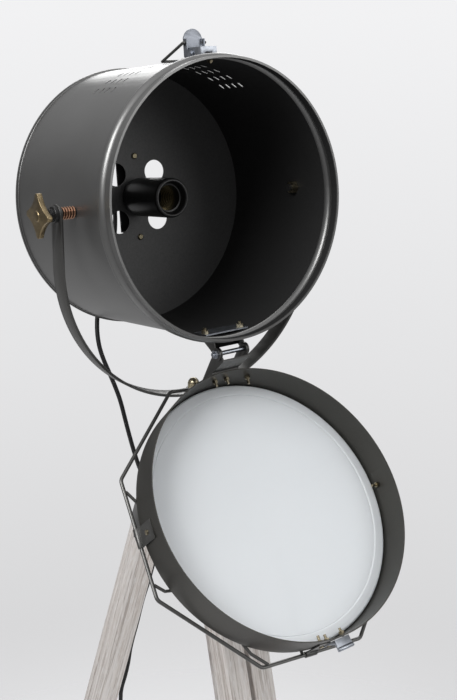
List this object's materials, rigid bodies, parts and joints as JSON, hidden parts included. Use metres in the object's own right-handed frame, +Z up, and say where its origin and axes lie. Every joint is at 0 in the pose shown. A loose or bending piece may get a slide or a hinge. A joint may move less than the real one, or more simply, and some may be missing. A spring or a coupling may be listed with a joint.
{
  "type": "tripod floor lamp",
  "caption": "Floor lamp like a stage searchlight: a sheet-metal drum with a hinged, guarded glass door, tilting in a strip yoke on a folding wooden tripod",
  "frame": {"origin": "on the floor, under the centre of the three feet's bounding box", "axes": "+X to the right as seen from behind the lamp, +Y backwards, away from where the drum faces, +Z up"},
  "size_m": [0.5646, 0.489, 1.4728],
  "materials": {
    "gunmetal": "satin",
    "black_metal": "satin",
    "zinc": "satin",
    "brass": "satin",
    "bronze": "antique",
    "copper": "satin",
    "wood": "whitewashed",
    "frosted_glass": "frosted",
    "rubber": "matte",
    "black_plastic": "matte"
  },
  "bodies": {
    "tripod": {"pan_stud": "zinc", "pan_nuts": "brass", "pan_washers": "black_metal", "neck": "gunmetal", "hub": "gunmetal", "flex_lower": "rubber", "flex_coil": "rubber", "flex_tail": "rubber", "plug": "black_plastic", "plug_pins": "brass"},
    "yoke": {"yoke": "gunmetal", "flex_upper": "rubber", "inline_switch": "black_plastic"},
    "switch_rocker": {"switch_rocker": "zinc"},
    "head": {"drum_shell": "gunmetal", "back_plate": "gunmetal", "lampholder_strap": "black_metal", "strap_screws": "brass", "lampholder": "black_plastic", "lamp_contacts": "brass", "lamp_nipple": "zinc", "pivot_nuts": "brass", "pivot_springs": "copper", "latch_base": "zinc", "latch_screws": "brass", "hinge_bracket": "gunmetal", "hinge_backing": "zinc", "hinge_screws": "brass", "hinge_pin": "zinc", "cord_gland": "black_plastic"},
    "latch_lever": {"latch_lever": "zinc", "latch_lever_pin": "zinc"},
    "latch_bail": {"latch_bail": "gunmetal"},
    "door": {"door_ring": "gunmetal", "lens_glass": "frosted_glass", "ring_screws": "brass", "guard_ring": "gunmetal", "guard_wires": "gunmetal", "guard_clips": "gunmetal", "latch_keeper": "zinc", "hinge_leaf": "gunmetal"},
    "knob_left": {"knob_left": "bronze", "stud_left": "black_metal"},
    "knob_right": {"knob_right": "bronze", "stud_right": "black_metal"},
    "leg_1": {"leg_sleeve_1": "gunmetal", "leg_battens_1": "wood", "leg_spacers_1": "wood", "leg_bolts_1": "zinc", "foot_1": "rubber"},
    "leg_2": {"leg_sleeve_2": "gunmetal", "leg_battens_2": "wood", "leg_spacers_2": "wood", "leg_bolts_2": "zinc", "foot_2": "rubber"},
    "leg_3": {"leg_sleeve_3": "gunmetal", "leg_battens_3": "wood", "leg_spacers_3": "wood", "leg_bolts_3": "zinc", "foot_3": "rubber"}
  },
  "joints": [
    {"name": "head_pan", "type": "hinge", "parent": "tripod", "child": "yoke", "pos_m": [0, 0.06418, 1.06], "axis": [0, 0, 1], "range_deg": [-90, 90], "deforming": ["flex_lower"]},
    {"name": "head_tilt", "type": "hinge", "parent": "yoke", "child": "head", "pos_m": [0, 0.06418, 1.29], "axis": [-1, 0, 0], "range_deg": [-2, 60], "deforming": ["flex_upper"]},
    {"name": "door_hinge", "type": "hinge", "parent": "head", "child": "door", "pos_m": [0, -0.00765, 1.13142], "axis": [1, 0, 0], "range_deg": [-144.5, 0]},
    {"name": "latch_lever_turn", "type": "hinge", "parent": "head", "child": "latch_lever", "pos_m": [0, 0.04933, 1.4471], "axis": [1, 0, 0], "range_deg": [0, 90]},
    {"name": "latch_bail_swing", "type": "hinge", "parent": "latch_lever", "child": "latch_bail", "pos_m": [0, 0.05915, 1.45859], "axis": [1, 0, 0], "range_deg": [0, 120]},
    {"name": "knob_left_turn", "type": "hinge", "parent": "yoke", "child": "knob_left", "pos_m": [0, 0.06418, 1.29], "axis": [-1, 0, 0], "range_deg": [0, 180]},
    {"name": "knob_right_turn", "type": "hinge", "parent": "yoke", "child": "knob_right", "pos_m": [0, 0.06418, 1.29], "axis": [1, 0, 0], "range_deg": [0, 180]},
    {"name": "switch_rock", "type": "hinge", "parent": "yoke", "child": "switch_rocker", "pos_m": [0.024, 0.1775, 0.848], "axis": [-1, 0, 0], "range_deg": [0, 12]},
    {"name": "leg_fold_1", "type": "hinge", "parent": "tripod", "child": "leg_1", "pos_m": [0, 0.02618, 0.969], "axis": [1, 0, 0], "range_deg": [0, 14.9]},
    {"name": "leg_fold_2", "type": "hinge", "parent": "tripod", "child": "leg_2", "pos_m": [0.03291, 0.08318, 0.969], "axis": [-0.5, 0.866, 0], "range_deg": [0, 14.9]},
    {"name": "leg_fold_3", "type": "hinge", "parent": "tripod", "child": "leg_3", "pos_m": [-0.03291, 0.08318, 0.969], "axis": [-0.5, -0.866, 0], "range_deg": [0, 14.9]}
  ]
}
